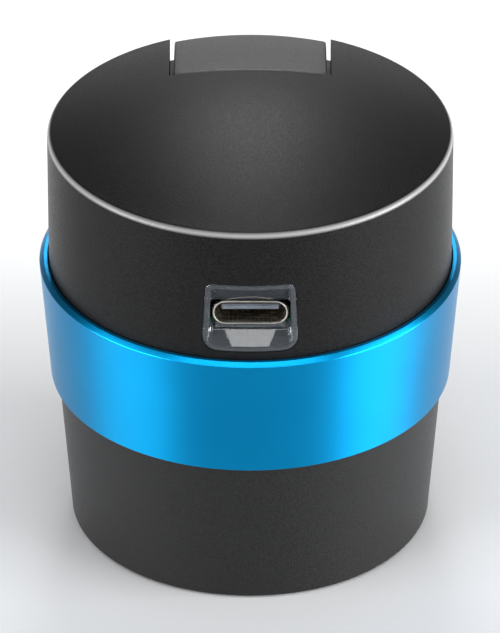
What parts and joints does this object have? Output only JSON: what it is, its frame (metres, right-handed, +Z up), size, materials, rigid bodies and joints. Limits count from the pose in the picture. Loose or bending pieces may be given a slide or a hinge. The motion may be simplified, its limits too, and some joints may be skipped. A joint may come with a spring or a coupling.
{
  "type": "color detector",
  "caption": "Round handheld colour meter with a domed lid and rear thumb key, standing in a tapered calibration cup with a blue metal ring.",
  "frame": {"origin": "centre of the foot pad's underside", "axes": "+Z up along the body's axis; the charging port faces -Y; the thumb key is at +Y"},
  "size_m": [0.0502, 0.0502, 0.0559],
  "materials": {
    "shell_black": "satin, very fine grain",
    "cup_black": "satin, very fine grain",
    "key_black": "matt",
    "anodised_blue": "satin blue anodised",
    "smoke_clear": "clear smoked, polished",
    "plated_steel": "plated, bright edges",
    "stainless": "bright",
    "moulded_black": "fine matt",
    "moulded_grey": "satin",
    "gold_contact": "gold plated",
    "black_rubber": "matt",
    "white_ceramic": "glazed white",
    "black_zinc": "black plated",
    "magnet_nickel": "nickel plated",
    "clear_glass": "polished, coated",
    "cell_steel": "bright steel",
    "board_green": "satin solder mask",
    "lamp_white": "phosphor under clear resin",
    "ribbon_amber": "glossy film",
    "foam_grey": "open foam",
    "spring_steel": "bright wire"
  },
  "bodies": {
    "cup": {"cup_shell": "cup_black", "foot_pad": "black_rubber", "grip_ring": "anodised_blue", "tile_cushion": "black_rubber", "calibration_tile": "white_ceramic", "tile_holder": "moulded_black", "holder_screws": "black_zinc", "cup_magnets": "magnet_nickel"},
    "instrument": {"nose_housing": "cup_black", "contact_ring": "black_rubber", "nose_magnets": "magnet_nickel", "spigot_seal": "black_rubber", "window_gasket": "black_rubber", "aperture_window": "clear_glass", "optics_block": "moulded_black", "eye_lens": "clear_glass", "lens_ring": "moulded_black", "sensor_board": "board_green", "colour_sensor": "moulded_black", "sample_lamps": "lamp_white", "sensor_screws": "black_zinc", "battery_carrier": "moulded_black", "battery_cell": "cell_steel", "cell_pad": "foam_grey", "cell_tabs": "stainless", "main_board": "board_green", "board_screws": "stainless", "processor_can": "stainless", "charger_chip": "moulded_black", "radio_antenna": "white_ceramic", "status_lamps": "lamp_white", "ribbon_connectors": "moulded_grey", "sensor_flex": "ribbon_amber", "switch_flex": "ribbon_amber", "outer_shell": "shell_black", "case_screws": "black_zinc", "port_bezel": "smoke_clear", "usb_shell": "plated_steel", "usb_insulator": "moulded_grey", "usb_contacts": "gold_contact", "key_pin": "stainless", "key_spring": "spring_steel", "switch_board": "board_green", "switch_screws": "stainless", "switch_body": "moulded_black", "switch_cover_plate": "stainless"},
    "key": {"thumb_key": "key_black"},
    "plunger": {"switch_plunger": "moulded_black"}
  },
  "joints": [
    {"name": "cup_lift", "type": "slide", "parent": "cup", "child": "instrument", "axis": [0, 0, 1], "range_m": [0, 0.035]},
    {"name": "key_press", "type": "hinge", "parent": "instrument", "child": "key", "pos_m": [0, 0.0098, 0.05173], "axis": [-1, 0, 0], "range_deg": [0, 2.5], "stiffness_Nm_per_rad": 0.25, "springref_deg": -1.15, "deforming": ["key_spring"]},
    {"name": "plunger_travel", "type": "slide", "parent": "instrument", "child": "plunger", "axis": [0, 0, -1], "range_m": [0, 0.000336]}
  ],
  "couplings": [
    {"joint": "plunger_travel", "follows": "key_press", "m_per_rad": 0.0077}
  ]
}
